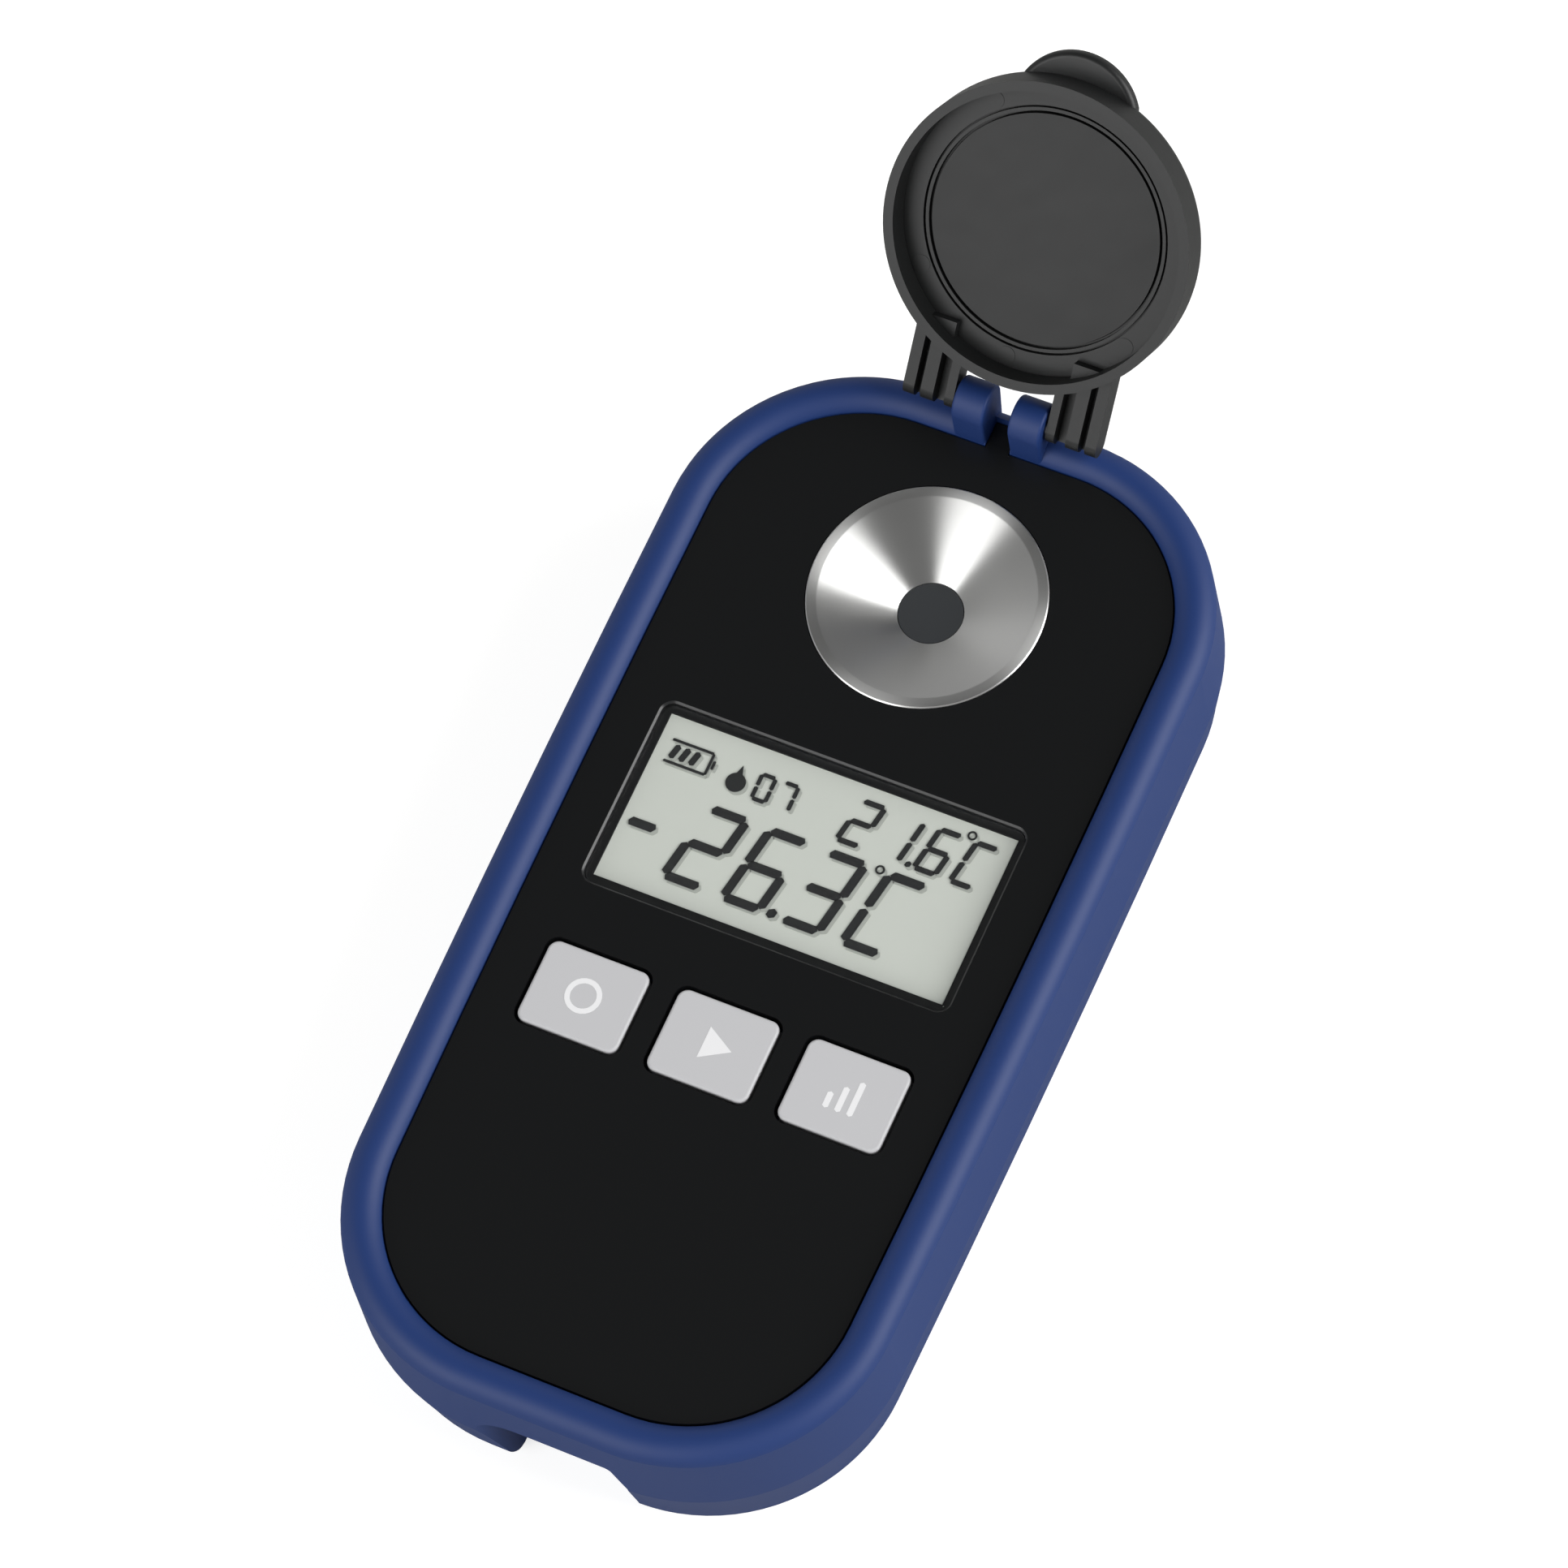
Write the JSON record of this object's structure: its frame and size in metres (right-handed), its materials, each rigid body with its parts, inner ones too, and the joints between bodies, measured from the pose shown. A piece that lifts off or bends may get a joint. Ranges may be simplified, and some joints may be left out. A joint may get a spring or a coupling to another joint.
{
  "type": "handheld refractometer",
  "caption": "Pocket digital refractometer with a hinged lid over a steel sample well, a display window and push buttons.",
  "frame": {"origin": "on the flat back, under the middle of the body", "axes": "+Z out of the face, +Y from the buttons to the hinge, +X to the right as the display is read"},
  "size_m": [0.059, 0.1422, 0.0526],
  "materials": {
    "case_blue": "satin",
    "panel_black": "satin",
    "clear_pane": "polished",
    "display_glass": "satin",
    "white_plastic": "matte",
    "seal_rubber": "matte",
    "board_green": "satin",
    "chip_black": "matte",
    "plated_steel": "plated",
    "turned_steel": "turned",
    "prism_glass": "polished",
    "block_black": "matte",
    "lamp_resin": "gloss",
    "probe_brass": "plain",
    "cell_jacket": "gloss",
    "button_grey": "satin",
    "lid_grey": "satin",
    "lid_disc_grey": "matte"
  },
  "bodies": {
    "case": {"top_case": "case_blue", "back_shell": "case_blue", "case_seal": "seal_rubber", "well_seal": "seal_rubber", "front_panel": "panel_black", "display_window": "clear_pane", "display_border": "panel_black", "lcd_module": "display_glass", "zebra_strips": "seal_rubber", "lcd_holder": "white_plastic", "circuit_board": "board_green", "board_screws": "plated_steel", "tact_switches": "chip_black", "board_chips": "chip_black", "sample_well": "turned_steel", "prism": "prism_glass", "prism_seal": "seal_rubber", "optics_block": "block_black", "led_light": "lamp_resin", "lens": "clear_pane", "line_sensor": "chip_black", "sensor_board": "board_green", "temperature_sensor": "probe_brass", "well_screws": "plated_steel", "case_screws": "plated_steel", "battery": "cell_jacket", "battery_plate": "plated_steel", "battery_spring": "plated_steel", "hinge_pins": "plated_steel"},
    "button_left": {"button_left": "button_grey"},
    "button_middle": {"button_middle": "button_grey"},
    "button_right": {"button_right": "button_grey"},
    "battery_cover": {"battery_cover": "case_blue"},
    "lid": {"lid_cap": "lid_grey", "lid_disc": "lid_disc_grey"}
  },
  "joints": [
    {"name": "lid_hinge", "type": "hinge", "parent": "case", "child": "lid", "pos_m": [0, 0.05642, 0.02378], "axis": [1, 0, 0], "range_deg": [-44, 133.36]},
    {"name": "button_left_press", "type": "slide", "parent": "case", "child": "button_left", "axis": [0, 0, -1], "range_m": [0, 0.00038], "stiffness_N_per_m": 600, "springref_m": -0.001},
    {"name": "button_middle_press", "type": "slide", "parent": "case", "child": "button_middle", "axis": [0, 0, -1], "range_m": [0, 0.00038], "stiffness_N_per_m": 600, "springref_m": -0.001},
    {"name": "button_right_press", "type": "slide", "parent": "case", "child": "button_right", "axis": [0, 0, -1], "range_m": [0, 0.00038], "stiffness_N_per_m": 600, "springref_m": -0.001},
    {"name": "cover_slide", "type": "slide", "parent": "case", "child": "battery_cover", "axis": [0, -1, 0], "range_m": [0, 0.05]}
  ]
}
